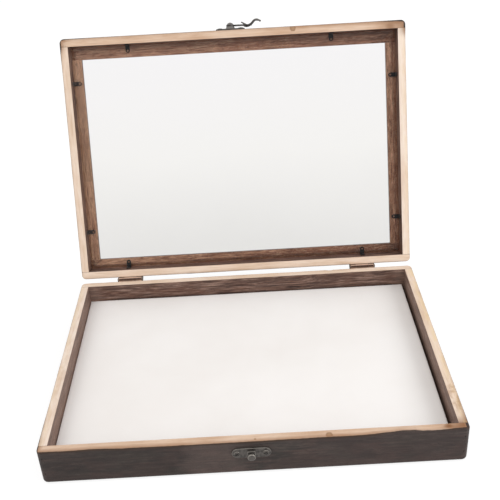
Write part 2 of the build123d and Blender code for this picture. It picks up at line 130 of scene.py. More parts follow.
class Graph:
    """A small builder for the nodes of one material or world."""

    def __init__(self, owner, output="ShaderNodeOutputMaterial"):
        self.owner = owner
        owner.use_nodes = True
        self.tree = owner.node_tree
        self.tree.nodes.clear()
        self.output = self.tree.nodes.new(output)

    def node(self, kind, **settings):
        made = self.tree.nodes.new(kind)
        for key, value in settings.items():
            setattr(made, key, value)
        return made

    def feed(self, socket, value):
        if isinstance(value, bpy.types.NodeSocket):
            self.tree.links.new(value, socket)
        else:
            socket.default_value = value

    # Numbers

    def math(self, operation, *values, clamp=False):
        made = self.node("ShaderNodeMath", operation=operation, use_clamp=clamp)
        for socket, value in zip(made.inputs, values):
            self.feed(socket, value)
        return made.outputs[0]

    def plus(self, a, b):
        return self.math("ADD", a, b)

    def minus(self, a, b):
        return self.math("SUBTRACT", a, b)

    def times(self, a, b):
        return self.math("MULTIPLY", a, b)

    def times_plus(self, a, b, c):
        """a * b + c"""
        return self.math("MULTIPLY_ADD", a, b, c)

    def absolute(self, a):
        return self.math("ABSOLUTE", a)

    def length(self, a, b):
        """The length of the vector (a, b)."""
        return self.math("SQRT", self.plus(self.times(a, a), self.times(b, b)))

    def step(self, value, low, high):
        """0 below low and 1 above high, smooth between. low may be above high."""
        made = self.node("ShaderNodeMapRange", interpolation_type="SMOOTHSTEP")
        self.feed(made.inputs["Value"], value)
        self.feed(made.inputs["From Min"], low)
        self.feed(made.inputs["From Max"], high)
        return made.outputs["Result"]

    # Colours

    def mix(self, factor, a, b):
        """Colour a where the factor is 0, b where it is 1. Their sockets go by number."""
        made = self.node("ShaderNodeMix", data_type="RGBA")
        self.feed(made.inputs["Factor"], factor)
        self.feed(made.inputs[6], a)
        self.feed(made.inputs[7], b)
        return made.outputs[2]

    def tint(self, base, mask, amount, colour):
        """The base colour, with the other over it by the amount where the mask is 1."""
        return self.mix(self.times(mask, amount), base, colour)

    def ramp(self, factor, colour_stops):
        made = self.node("ShaderNodeValToRGB")
        elements = made.color_ramp.elements
        while len(elements) < len(colour_stops):
            elements.new(0.5)
        for element, (place, colour) in zip(elements, colour_stops):
            element.position = place
            element.color = colour
        self.feed(made.inputs[0], factor)
        return made.outputs[0]

    # Places and patterns

    def scaled(self, vector, scale, shift=(0, 0, 0)):
        made = self.node("ShaderNodeMapping")
        self.feed(made.inputs["Vector"], vector)
        made.inputs["Scale"].default_value = scale
        made.inputs["Location"].default_value = shift
        return made.outputs[0]

    def noise(self, vector, scale, shift=(0, 0, 0), detail=3.0, roughness=0.55):
        """Noise of 0 to 1 that varies scale times per millimetre."""
        made = self.node("ShaderNodeTexNoise")
        self.feed(made.inputs["Vector"], self.scaled(vector, scale, shift))
        made.inputs["Scale"].default_value = 1.0
        made.inputs["Detail"].default_value = detail
        made.inputs["Roughness"].default_value = roughness
        return made.outputs["Fac"]

    def parts(self, vector):
        made = self.node("ShaderNodeSeparateXYZ")
        self.feed(made.inputs[0], vector)
        return made.outputs

    def closed(self, vector, centre=(0, 0, 0)):
        """A place or direction on the open lid, as it is with the lid closed."""
        turn = self.node("ShaderNodeVectorRotate", rotation_type="X_AXIS")
        self.feed(turn.inputs["Vector"], vector)
        turn.inputs["Center"].default_value = centre
        turn.inputs["Angle"].default_value = LID_OPEN
        return turn.outputs[0]

    def place(self, on_lid):
        """Where the surface is, in millimetres with the lid closed."""
        coordinates = self.node("ShaderNodeTexCoord").outputs["Object"]
        if on_lid:
            coordinates = self.closed(coordinates, HINGE_AXIS)
        vector = self.scaled(coordinates, (1 / MM,) * 3)
        return Place(vector, *self.parts(vector))

    def slant(self, on_lid):
        """1 on the fittings' rounded edges, 0 on faces that look straight out or sideways."""
        normal = self.node("ShaderNodeTexCoord").outputs["Normal"]
        if on_lid:
            normal = self.closed(normal)
        outward = self.absolute(self.parts(normal)[1])
        return self.times(self.step(outward, 0.985, 0.90), self.step(outward, 0.10, 0.35))

    def attribute(self, name):
        return self.node("ShaderNodeAttribute", attribute_name=name).outputs["Fac"]

    # Shaders

    def bump(self, height, distance, strength):
        """A normal from a height of 0 to 1 and its full depth in millimetres."""
        made = self.node("ShaderNodeBump")
        self.feed(made.inputs["Height"], height)
        made.inputs["Distance"].default_value = distance * MM
        made.inputs["Strength"].default_value = strength
        return made.outputs[0]

    def principled(self, colour, roughness, normal=None, **plain):
        made = self.node("ShaderNodeBsdfPrincipled")
        self.feed(made.inputs["Base Color"], colour)
        self.feed(made.inputs["Roughness"], roughness)
        if normal is not None:
            self.feed(made.inputs["Normal"], normal)
        for key, value in plain.items():
            made.inputs[key.replace("_", " ")].default_value = value
        self.show(made.outputs[0])
        return made.outputs[0]

    def plain(self, kind, colour, strength=None):
        """A shader of one colour."""
        made = self.node(kind)
        made.inputs["Color"].default_value = (*colour, 1)
        if strength is not None:
            made.inputs["Strength"].default_value = strength
        return made.outputs[0]

    def rays(self, *kinds):
        """1 for rays of any of these kinds."""
        path = self.node("ShaderNodeLightPath").outputs
        flag = path[f"Is {kinds[0]} Ray"]
        for kind in kinds[1:]:
            flag = self.math("MAXIMUM", flag, path[f"Is {kind} Ray"])
        return flag

    def join(self, kind, *values):
        """A mix or a sum of shaders, whose values are given in the order of its sockets."""
        made = self.node(kind)
        for socket, value in zip(made.inputs, values):
            self.feed(socket, value)
        return made.outputs[0]

    def show(self, shader):
        self.feed(self.output.inputs["Surface"], shader)


def material_graph(name):
    return Graph(bpy.data.materials.new(name))


def even(scale):
    return (scale,) * 3


def stretched(along, across, lengthwise):
    """A noise scale that differs along one axis and across it."""
    scale = [across] * 3
    scale["XYZ".index(along)] = lengthwise
    return tuple(scale)


# Wood

DARK_TO_PALE = (0.38, 0.5, 0.62)
OUTSIDE = stops(DARK_TO_PALE, (33, 27, 25), (50, 43, 40), (71, 61, 57))
INSIDE = stops(DARK_TO_PALE, (50, 35, 30), (98, 74, 65), (158, 130, 116))
STRIP = stops(DARK_TO_PALE, (124, 78, 56), (196, 140, 110), (252, 200, 164))
RAW_STOPS = (0.38, 0.52, 0.66)
RAW_FRONT = stops(RAW_STOPS, (204, 168, 139), (221, 191, 166), (234, 209, 188))
RAW_SIDE = stops(RAW_STOPS, (222, 194, 168), (238, 215, 195), (246, 230, 214))
RAW_PALE = stops(RAW_STOPS, (229, 203, 183), (243, 224, 208), (250, 237, 225))

# On the stained faces
PORE = srgb(38, 27, 24)
WARM_STREAK = srgb(84, 64, 58)
LOW_PATCH = srgb(74, 57, 52)
GREEN_PATCH = srgb(64, 62, 54)
DARK_BLOT = srgb(34, 29, 28)
PALE_BLOT = srgb(92, 80, 74)
RED_CLOUD = srgb(104, 66, 50)
# Painted shadow along the foot of the tray's walls, where they meet the bed
FOOT_SHADOW = srgb(30, 24, 20)
PALE_END = srgb(184, 158, 144)
PALE_LINE = srgb(142, 104, 84)
BURNT = srgb(60, 42, 30)
# On the raw rim
HAIR = srgb(178, 134, 100)
KNOT = srgb(176, 142, 110)
KNOT_EDGE = srgb(140, 104, 78)
STAIN = srgb(140, 98, 66)
YELLOWED = srgb(236, 210, 158)
MOTTLE = srgb(164, 120, 84)
FRINGE = srgb(150, 104, 68)
# Greyer band on the eased arris: partly stain, partly painted shade of its rounding
EASED_STAIN_AND_SHADE = srgb(172, 149, 132)
GLUE = srgb(92, 62, 44)
# On the lip strips
STRIP_CLOUD = srgb(184, 118, 88)
STRIP_MOTTLE = srgb(244, 206, 176)
STRIP_FLECK = srgb(252, 208, 174)
STRIP_DARK_FLECK = srgb(96, 60, 44)
STRIP_PORE = srgb(60, 38, 30)
# Painted shade on the strips: the rail's shadow in a band beside it, and a darker contact
# shade at the joint
STRIP_WALL_SHADOW = srgb(104, 60, 44)
STRIP_CONTACT_SHADE = srgb(52, 28, 20)

# Widths and places in millimetres. A pair is where something starts and where it is full.
ARRIS_WIDTH = 5.0
FRINGE_WIDTH = 4.4
BURNT_WIDTH = 2.6
# Where the painted shadow at the foot of the walls lies
FOOT_SHADOW_HEIGHT = (BED_TOP + 2.4, BED_TOP + 0.6)
FOOT_SHADOW_X = (-150, -130)
PALE_END_X = (145, 158)
GLUE_WIDTH = (0.35, 0.10)
# Widths of the painted shade beside the rail on the strips
STRIP_WALL_SHADOW_WIDTH = (5.4, 4.2)
STRIP_CONTACT_SHADE_WIDTH = (2.6, 1.2)


def streaks(g, vector, along, shift):
    """Grain that wanders a little, coarse and fine, and both in one tone from 0 to 1."""
    wander = g.noise(vector, stretched(along, 0.05, 0.012), shift, detail=2)
    push = g.node("ShaderNodeCombineXYZ")
    for axis, amount in enumerate(stretched(along, 9.0, 0.0)):
        g.feed(push.inputs[axis], g.times(wander, amount))
    bent = g.node("ShaderNodeVectorMath", operation="ADD")
    g.feed(bent.inputs[0], vector)
    g.feed(bent.inputs[1], push.outputs[0])
    bent = bent.outputs[0]
    coarse = g.noise(bent, stretched(along, 0.62, 0.034), shift)
    fine = g.noise(bent, stretched(along, 1.5, 0.06), shift, detail=4, roughness=0.65)
    return Grain(g.plus(g.times(coarse, 0.5), g.times(fine, 0.5)), coarse, fine)


def pores(g, vector, along, shift):
    """Short dark dashes along the grain."""
    dashes = g.noise(vector, stretched(along, 3.4, 0.28), shift, detail=2, roughness=0.5)
    return g.step(dashes, 0.60, 0.70)


def board_surface(g, along, on_lid, shift):
    """The places and patterns that the layers of a board's colour share."""
    at = g.place(on_lid)
    s = SimpleNamespace(at=at, along=along, shift=shift)
    s.grain = streaks(g, at.vector, along, shift)
    s.clouds = g.noise(at.vector, stretched(along, 0.07, 0.022), shift)
    s.ragged = g.noise(at.vector, stretched(along, 1.4, 0.35))

    from_x = g.minus(HALF_WIDTH, g.absolute(at.x))
    from_y = g.minus(HALF_DEPTH, g.absolute(at.y))
    s.inset = g.math("MINIMUM", from_x, from_y)
    s.depth = g.minus(at.z, LID_RIM) if on_lid else g.minus(TRAY_RIM, at.z)
    s.inner = g.times(
        g.step(g.absolute(at.x), INNER_X + 0.14, INNER_X + 0.04),
        g.step(g.absolute(at.y), INNER_Y + 0.14, INNER_Y + 0.04),
    )
    s.outer = g.minus(1.0, s.inner)

    # Where the raw wood ends, as a place across the arris: below 0 it is on the rim, above 0
    # down the outer face. The inner faces are stained right up to the rim.
    edge = g.times_plus(s.ragged, 0.5, g.minus(g.attribute("sanded"), 0.25))
    s.edge = g.times_plus(s.inner, g.minus(0.12, edge), edge)
    s.across = g.minus(s.depth, g.times(s.outer, g.math("MINIMUM", s.inset, ARRIS_WIDTH)))
    s.burnt = g.attribute("burnt")
    return s


def outer_stain(g, s, shades):
    """The dark outer faces: streaks, warm, low brown and greenish patches, and blots."""
    vector, along = s.at.vector, s.along
    colour = g.ramp(g.plus(g.times(s.grain.tone, 0.55), g.times(s.clouds, 0.45)), OUTSIDE)
    warm = g.noise(vector, stretched(along, 0.5, 0.02), (5, 2, 9), detail=2)
    colour = g.tint(colour, g.step(warm, 0.52, 0.72), 0.45, WARM_STREAK)
    patches = g.noise(vector, (0.035, 0.05, 0.06), (8, 3, 6), detail=2)
    low_down = g.times_plus(s.depth, 0.008, g.minus(patches, 0.1))
    colour = g.tint(colour, g.step(low_down, 0.5, 0.66), 0.5, LOW_PATCH)
    colour = g.tint(colour, g.step(patches, 0.46, 0.34), 0.25, GREEN_PATCH)
    blots = g.noise(vector, stretched(along, 0.5, 0.09), (2, 9, 4), detail=4, roughness=0.65)
    colour = g.tint(colour, g.step(blots, 0.47, 0.36), 0.35, DARK_BLOT)
    colour = g.tint(colour, g.step(blots, 0.53, 0.66), 0.35, PALE_BLOT)
    for centre, reach, shade, amount in shades:
        far = g.times_plus(g.minus(s.clouds, 0.5), 40.0, g.absolute(g.minus(s.at.x, centre)))
        colour = g.tint(colour, g.step(far, reach, reach * 0.4), amount, shade)
    return colour


def inner_stain(g, s, on_lid):
    """The brown inner faces. In the tray a painted shadow runs along the foot of the walls
    beside the bed, except near the left wall.
    """
    colour = g.ramp(s.grain.tone, INSIDE)
    colour = g.tint(colour, g.step(s.clouds, 0.45, 0.68), 0.35, RED_CLOUD)
    if not on_lid:
        # Painted shadow along the foot of the walls, beside the bed
        foot_shadow = g.times(g.step(s.at.z, *FOOT_SHADOW_HEIGHT), g.step(s.at.x, *FOOT_SHADOW_X))
        colour = g.tint(colour, foot_shadow, 0.5, FOOT_SHADOW)
        colour = g.tint(colour, g.step(g.absolute(s.at.x), *PALE_END_X), 0.22, PALE_END)
    lines = g.noise(s.at.vector, stretched(s.along, 0.9, 0.03), (6, 6, 2), roughness=0.6)
    return g.tint(colour, g.step(lines, 0.53, 0.64), 0.45, PALE_LINE)


def distance_from(g, at, x, y, units=None):
    """How far the surface is from a place on the rim, in millimetres or units for x and y."""
    away_x, away_y = g.minus(at.x, x), g.minus(at.y, y)
    if units:
        away_x = g.math("DIVIDE", away_x, units[0])
        away_y = g.math("DIVIDE", away_y, units[1])
    return g.length(away_x, away_y)


def raw_rim(g, s, raw, spots, stained_corners, mottles, yellowed):
    """The unstained wood of the rim, with its knots and marks."""
    vector, along = s.at.vector, s.along
    colour = g.ramp(g.plus(g.times(s.grain.tone, 0.6), g.times(s.clouds, 0.4)), raw)
    hairs = g.noise(vector, stretched(along, 2.6, 0.06), (1, 7, 3))
    colour = g.tint(colour, g.step(hairs, 0.58, 0.72), 0.22, HAIR)
    for x, y, radius, darkness in spots:
        uneven = g.times(g.minus(s.ragged, 0.5), radius * 0.8)
        far = g.plus(distance_from(g, s.at, x, y), uneven)
        body = g.step(far, radius * 1.15, radius * 0.8)
        ring = g.times(body, g.step(far, radius * 0.35, radius * 0.95))
        colour = g.tint(colour, body, darkness, KNOT)
        colour = g.tint(colour, ring, darkness * 0.7, KNOT_EDGE)
    for x, y, reach, darkness in stained_corners:
        uneven = g.times(g.minus(s.clouds, 0.5), 0.6)
        far = g.plus(distance_from(g, s.at, x, y, (reach, reach * 0.8)), uneven)
        colour = g.tint(colour, g.step(far, 1.0, 0.1), darkness, STAIN)
    patchy = g.noise(vector, stretched(along, 0.18, 0.07), s.shift, roughness=0.6)
    aged = g.times(g.step(s.inset, 6.5, 2.0), g.step(patchy, 0.36, 0.56))
    colour = g.tint(colour, aged, yellowed, YELLOWED)
    for x, y, reach, darkness in mottles:
        near = g.step(distance_from(g, s.at, x, y), reach, reach * 0.3)
        mottled = g.times(near, g.step(patchy, 0.42, 0.62))
        colour = g.tint(colour, mottled, darkness, MOTTLE)
    return colour


def board_wood(
    name, along, raw, shift, spots=(), stained_corners=(), mottles=(), yellowed=0.0, shades=()
):
    """Stained wood whose sawn rim is raw.

    Its spots, stained corners and mottles are places on the rim: x, y, reach and darkness.
    Its shades are on the outer face of a front board: x, reach, colour and amount.
    """
    g = material_graph(name)
    on_lid = name.startswith("lid")
    s = board_surface(g, along, on_lid, shift)
    dark = g.times(pores(g, s.at.vector, along, shift), 0.55)
    stained = g.mix(s.inner, outer_stain(g, s, shades), inner_stain(g, s, on_lid))
    stained = g.mix(dark, stained, PORE)
    rim = raw_rim(g, s, raw, spots, stained_corners, mottles, yellowed)

    # Along the stain's edge: browned raw wood, a burnt band in the stain, and a greyer band on
    # the rubbed arris, partly stain and partly painted shade of its rounding
    low_edge = g.minus(s.edge, 0.2)
    fringe = g.times(g.step(s.across, g.minus(s.edge, FRINGE_WIDTH), low_edge), s.burnt)
    rim = g.tint(rim, fringe, 0.62, FRINGE)
    high_edge = g.plus(s.edge, 0.4)
    band = g.step(s.across, g.times_plus(s.burnt, BURNT_WIDTH, high_edge), high_edge)
    stained = g.tint(stained, g.times(band, s.outer), s.burnt, BURNT)
    # Painted shade with stain: a greyer band on the rubbed arris
    rubbed_and_painted_light_from = g.times_plus(s.ragged, -1.6, g.minus(s.edge, 0.9))
    rubbed_and_painted_light = g.step(s.across, rubbed_and_painted_light_from, low_edge)
    rubbed_and_painted_light = g.times(rubbed_and_painted_light, g.times_plus(s.burnt, -0.4, 0.6))
    rim = g.tint(rim, rubbed_and_painted_light, s.outer, EASED_STAIN_AND_SHADE)

    raw_part = g.step(s.across, g.plus(s.edge, 0.16), g.minus(s.edge, 0.10))
    colour = g.mix(raw_part, stained, rim)
    # A line of glue in the butt joints
    beside_joint = g.absolute(g.minus(g.absolute(s.at.y), INNER_Y))
    over_joint = g.step(g.absolute(s.at.x), INNER_X - 0.2, INNER_X)
    glue = g.times(g.step(beside_joint, *GLUE_WIDTH), over_joint)
    colour = g.tint(colour, glue, 0.55, GLUE)

    height = g.plus(g.times(s.grain.fine, 0.7), g.times(s.grain.coarse, 0.5))
    height = g.minus(height, g.times(dark, 0.8))
    roughness = g.times_plus(s.grain.fine, 0.25, g.times_plus(raw_part, 0.22, 0.46))
    g.principled(colour, roughness, g.bump(height, 0.25, 0.75), Specular_IOR_Level=0.32)
    return g.owner


def strip_wood(name, along, shift, lighter, wall_shadow):
    """Brown stained lip strips with an open grain.

    The two numbers of lighter are added to the tone at the front or left end and at the far
    end, and the last argument is how dark the painted shadow of the rail on the strip is.
    """
    g = material_graph(name)
    at = g.place(on_lid=True)
    grain = streaks(g, at.vector, along, shift)
    half = HALF_WIDTH if along == "X" else HALF_DEPTH
    far_end = g.times_plus(at.x if along == "X" else at.y, 0.5 / half, 0.5)
    near, far = lighter
    tone = g.plus(grain.tone, g.times_plus(far_end, far - near, near))
    colour = g.ramp(tone, STRIP)

    clouds = g.noise(at.vector, stretched(along, 0.12, 0.02), shift)
    colour = g.tint(colour, g.step(clouds, 0.42, 0.66), 0.4, STRIP_CLOUD)
    mottle = g.noise(at.vector, even(0.9), shift, detail=4, roughness=0.7)
    colour = g.tint(colour, g.step(mottle, 0.5, 0.68), 0.35, STRIP_MOTTLE)
    flecks = g.noise(at.vector, stretched(along, 1.0, 0.16), (9, 4, 7), roughness=0.6)
    colour = g.tint(colour, g.step(flecks, 0.54, 0.66), 0.4, STRIP_FLECK)
    dark = g.times(pores(g, at.vector, along, shift), 0.6)
    colour = g.mix(dark, colour, STRIP_PORE)
    colour = g.tint(colour, g.step(flecks, 0.46, 0.34), 0.45, STRIP_DARK_FLECK)

    wall_x = g.minus(INNER_X, g.absolute(at.x))
    wall_y = g.minus(INNER_Y, g.absolute(at.y))
    from_wall = g.times_plus(mottle, 1.5, g.math("MINIMUM", wall_x, wall_y))
    # Painted shade: the rail's shadow on the strip, and a darker contact shade at the joint
    colour = g.tint(colour, g.step(from_wall, *STRIP_WALL_SHADOW_WIDTH), wall_shadow, STRIP_WALL_SHADOW)
    colour = g.tint(colour, g.step(from_wall, *STRIP_CONTACT_SHADE_WIDTH), 0.35, STRIP_CONTACT_SHADE)

    # The strips' edges are like the inner faces, and their top is like the outer ones
    edges = g.mix(dark, g.ramp(grain.tone, INSIDE), PORE)
    colour = g.mix(g.step(at.z, LIP_BOTTOM + 0.2, LIP_BOTTOM + 0.7), colour, edges)
    top = g.ramp(g.times_plus(clouds, 0.45, g.times(grain.tone, 0.55)), OUTSIDE)
    top = g.mix(dark, top, PORE)
    colour = g.mix(g.step(at.z, LID_TOP - 0.6, LID_TOP - 0.1), colour, top)

    height = g.plus(g.times(grain.fine, 0.8), g.times(grain.coarse, 0.4))
    normal = g.bump(g.minus(height, dark), 0.3, 0.8)
    roughness = g.times_plus(grain.fine, 0.3, 0.42)
    g.principled(colour, roughness, normal, Specular_IOR_Level=0.35)
    return g.owner


def plywood():
    """Rotary-cut veneer with a light brown wash."""
    g = material_graph("plywood")
    vector = g.place(on_lid=False).vector
    rings = g.node(
        "ShaderNodeTexWave", wave_type="BANDS", bands_direction="Y", wave_profile="SAW"
    )
    g.feed(rings.inputs["Vector"], g.scaled(vector, stretched("X", 0.11, 0.012)))
    rings.inputs["Scale"].default_value = 1.0
    rings.inputs["Distortion"].default_value = 7.0
    rings.inputs["Detail"].default_value = 3.0
    rings.inputs["Detail Scale"].default_value = 0.6
    grain = streaks(g, vector, "X", (3, 8, 1))
    factor = g.plus(g.times(rings.outputs["Fac"], 0.4), g.times(grain.tone, 0.6))
    veneer = stops((0.2, 0.55, 0.85), (150, 112, 78), (182, 144, 106), (202, 168, 130))
    dark = g.times(pores(g, vector, "X", (2, 2, 2)), 0.35)
    colour = g.mix(dark, g.ramp(factor, veneer), srgb(110, 78, 54))
    g.principled(colour, 0.68, g.bump(g.minus(grain.fine, dark), 0.2, 0.6))
    return g.owner


# Foam, glass and metal

def foam_skin():
    """Fine-celled off-white foam with faint blotches and open cells."""
    g = material_graph("foam")
    vector = g.place(on_lid=False).vector
    broad = g.noise(vector, even(0.012))
    cells = g.node("ShaderNodeTexVoronoi", feature="F1")
    g.feed(cells.inputs["Vector"], g.scaled(vector, even(1.6)))
    cells.inputs["Scale"].default_value = 1.0
    grit = g.noise(vector, even(2.4), roughness=0.6)
    pits = g.step(cells.outputs["Distance"], 0.16, 0.05)
    colour = g.ramp(broad, stops((0.3, 0.7), (247, 243, 240), (252, 249, 247)))
    colour = g.tint(colour, pits, 0.10, srgb(212, 208, 203))
    normal = g.bump(g.minus(g.times(grit, 0.5), pits), 0.12, 0.5)
    g.principled(colour, 0.86, normal, Specular_IOR_Level=0.25)
    return g.owner


def window_glass():
    """Clear glass that lamps shine through, a little greyer towards the hinges: painted shade
    of what lies behind it.
    """
    g = material_graph("glass")
    at = g.place(on_lid=True)
    shade_noise = g.noise(at.vector, even(0.012), detail=2)
    wipe = g.noise(at.vector, (0.02, 0.3, 0.02), (4, 4, 4))
    # Painted shade: the pane is greyer towards the hinges, unevenly
    toward_hinge = g.times_plus(at.y, 0.5 / HALF_DEPTH, g.times_plus(shade_noise, 0.12, 0.44))
    tints = stops((0.1, 0.5, 0.9), (240, 239, 240), (237, 236, 234), (224, 223, 221))
    pane = g.principled(
        g.ramp(toward_hinge, tints), g.times(wipe, 0.02),
        Transmission_Weight=1.0, IOR=1.27, Specular_IOR_Level=0.12,
    )
    clear = g.plain("ShaderNodeBsdfTransparent", (0.95, 0.955, 0.95))
    g.show(g.join("ShaderNodeMixShader", g.rays("Shadow", "Diffuse"), pane, clear))
    return g.owner


def old_metal(name, on_lid, colours, metallic, roughness):
    """Cast metal with a dull patina of two tones, and a third colour on its slanted edges:
    partly rubbed wear, partly painted highlight.
    """
    g = material_graph(name)
    vector = g.place(on_lid).vector
    dark, middle, worn_and_highlight = (srgb(*colour) for colour in colours)
    patina = g.noise(vector, even(0.35), roughness=0.5)
    grit = g.noise(vector, even(3.0))
    # Painted highlight and rubbed wear on the slanted edges
    rubbed_and_painted_light = g.math("MULTIPLY", g.slant(on_lid), g.times_plus(grit, 0.5, 0.6), clamp=True)
    colour = g.mix(rubbed_and_painted_light, g.ramp(patina, ((0.36, dark), (0.56, middle))), worn_and_highlight)
    colour = g.tint(colour, g.step(grit, 0.60, 0.72), 0.3, dark)
    roughness = g.times_plus(rubbed_and_painted_light, -0.12, roughness)
    g.principled(colour, roughness, g.bump(grit, 0.05, 0.5), Metallic=metallic)
    return g.owner


DARK_LINE_ANGLE = radians(34)
DARK_LINE_WIDTH = (1.5, 0.7)
BARREL_EDGE = (BARREL_RADIUS + 1.1, BARREL_RADIUS + 0.7)
BARREL_END = (12.2, 11.2)


def hinge_metal(name):
    """Dark leaves whose barrel is painted pale as a painted reflection of the raw wood rims
    beside it, with a dark line along it.
    """
    g = material_graph(name)
    at = g.place(on_lid=False)
    off_y = g.minus(at.y, HINGE_Y)
    off_z = g.minus(at.z, TRAY_RIM)
    grit = g.noise(at.vector, (0.5, 3.0, 3.0))
    patina = g.noise(at.vector, even(0.3))
    along = g.absolute(g.minus(g.absolute(at.x), HINGE_X))
    from_pin = g.length(off_y, off_z)
    barrel = g.times(g.step(from_pin, *BARREL_EDGE), g.step(along, *BARREL_END))
    leaf = g.ramp(patina, stops((0.36, 0.6), (58, 46, 38), (104, 84, 68)))
    # Painted reflection of the raw wood rims on the barrel
    painted_reflection = g.ramp(grit, stops((0.35, 0.65), (216, 184, 164), (236, 212, 194)))
    colour = g.mix(barrel, leaf, painted_reflection)

    cosine, sine = cos(DARK_LINE_ANGLE), sin(DARK_LINE_ANGLE)
    beside_dark_line = g.absolute(g.times_plus(off_y, sine, g.times(off_z, cosine)))
    toward_dark_line = g.times_plus(off_y, -cosine, g.times(off_z, sine))
    dark_line = g.times(g.step(beside_dark_line, *DARK_LINE_WIDTH), g.step(toward_dark_line, 0.0, 0.8))
    colour = g.tint(colour, dark_line, barrel, srgb(66, 44, 33))
    roughness = g.times_plus(barrel, -0.18, 0.46)
    g.principled(colour, roughness, g.bump(grit, 0.04, 0.5), Metallic=0.6)
    return g.owner


# Meshes

def new_piece(mesh, name, sharp_angle, material):
    """The object that a bmesh in metres becomes."""
    bmesh.ops.recalc_face_normals(mesh, faces=mesh.faces)
    data = bpy.data.meshes.new(name)
    mesh.to_mesh(data)
    mesh.free()
    for polygon in data.polygons:
        polygon.use_smooth = True
    data.set_sharp_from_angle(angle=sharp_angle)
    data.materials.append(material)
    piece = bpy.data.objects.new(name, data)
    bpy.context.scene.collection.objects.link(piece)
    return piece


# Boards with their edges sanded by hand: each is the CAD board, sliced finely and eased inward

SLICE_PITCH = 2.5
SLICES_DOWN = (0.35, 0.7, 1.1, 1.6, 2.3, 3.2, 4.5)
SLICES_IN = SLICES_DOWN[:-1]
SLICE_TOLERANCE = 1e-4
WELD_METRES = 1e-6
BOARD_SHARP = radians(32)
# Where the arris is eased, down from the rim and in from the face, and by how much
EASED_DEPTH = 4.6
EASED_INSET = 3.3
EASED_REACH = 3.6
EASED_AMOUNT = 0.4
EASED_SIDEWAYS = 0.9

# For each board, how far the raw wood of the rim reaches over the arris, in millimetres, as
# (place along the board, reach). Below 0 the stain of the outer face comes up onto the rim.
SANDING = {
    "tray_front_board": (
        (-170, -1.4), (-150, -1.0), (-118, -1.2), (-102, -0.4), (-60, -0.2), (0, -0.1),
        (35, -0.4), (62, -0.6), (76, -0.3), (92, -0.8), (106, -1.9), (118, -3.1), (126, -2.8),
        (134, -1.4), (143, -1.2), (151, -1.7), (158, -2.5), (170, -2.7),
    ),
    "tray_rear_board": ((-170, 0.6), (-120, 0.7), (0, 0.5), (60, 0.6), (170, 0.4)),
    "tray_left_board": ((-113, -0.8), (-60, 0.3), (40, 0.5), (113, 0.5)),
    "tray_right_board": ((-113, -0.7), (-98, 0.0), (-60, 0.3), (30, 0.6), (113, 0.5)),
    "lid_front_rail": (
        (-170, -1.5), (-160, -0.6), (-120, 0.1), (20, 0.2), (110, 0.1), (140, -0.2),
        (158, -1.2), (170, -2.0),
    ),
    "lid_rear_rail": (
        (-170, 0.6), (-64, 0.4), (-57, -0.5), (-49, 0.0), (-20, 0.3), (110, 0.6), (170, 0.6),
    ),
    "lid_left_rail": ((-113, -1.6), (-105, -0.4), (-96, 0.5), (60, 0.6), (113, 0.6)),
    "lid_right_rail": ((-113, -1.0), (-109, 0.2), (-104, 0.8), (50, 0.8), (113, 0.8)),
}
# and where its stain is burnt darker, as (place, width, share)
BURNING = {
    "tray_front_board": ((-40, 120, 0.9), (80, 30, 1.0), (165, 14, 1.0), (-125, 45, 1.0)),
    "tray_rear_board": ((-160, 20, 0.2),),
    "tray_left_board": ((-108, 8, 0.5),),
    "tray_right_board": ((-106, 12, 1.0), (-60, 30, 0.35)),
    "lid_front_rail": ((130, 60, 1.0), (60, 50, 0.5), (-168, 7, 1.0), (-60, 70, 0.25)),
    "lid_rear_rail": ((-25, 35, 0.35),),
    "lid_left_rail": ((-113, 8, 0.7),),
    "lid_right_rail": ((-112, 8, 0.8),),
}


def ripple(s, seed, size):
    """A smooth random number along a board, from about -1 to 1."""
    return 2.0 * noise.noise(Vector((s / size, seed * 7.31, 0.5)))


def between(points, s):
    """The value at a place on a smooth line through (place, value) points."""
    for (first, low), (last, high) in zip(points, points[1:]):
        if s <= last:
            share = max(0.0, min(1.0, (s - first) / (last - first)))
            return low + (high - low) * share * share * (3 - 2 * share)
    return points[-1][1]


def sum_of(hills, s):
    """The height at a place of hills that are given as (place, width, height)."""
    return sum(height * exp(-((s - centre) / width) ** 2) for centre, width, height in hills)


def slice_board(mesh, along_x, side, rim, sign):
    """Cuts the faces of a board across its length, and finely beside its outer arris."""
    def slice_at(point, direction):
        geometry = mesh.verts[:] + mesh.edges[:] + mesh.faces[:]
        bmesh.ops.bisect_plane(
            mesh, geom=geometry, plane_co=point, plane_no=direction, dist=SLICE_TOLERANCE
        )

    lengthwise, across = ((1, 0, 0), (0, 1, 0)) if along_x else ((0, 1, 0), (1, 0, 0))
    length = HALF_WIDTH if along_x else INNER_Y
    outer = HALF_DEPTH if along_x else HALF_WIDTH
    count = int(2 * length / SLICE_PITCH)
    for index in range(1, count):
        s = -length + 2 * length * index / count
        slice_at(Vector(lengthwise) * s, lengthwise)
    for depth in SLICES_DOWN:
        slice_at((0, 0, rim + sign * depth), (0, 0, 1))
    for inset in SLICES_IN:
        slice_at(Vector(across) * side * (outer - inset), across)
    bmesh.ops.triangulate(mesh, faces=[face for face in mesh.faces if len(face.verts) > 4])


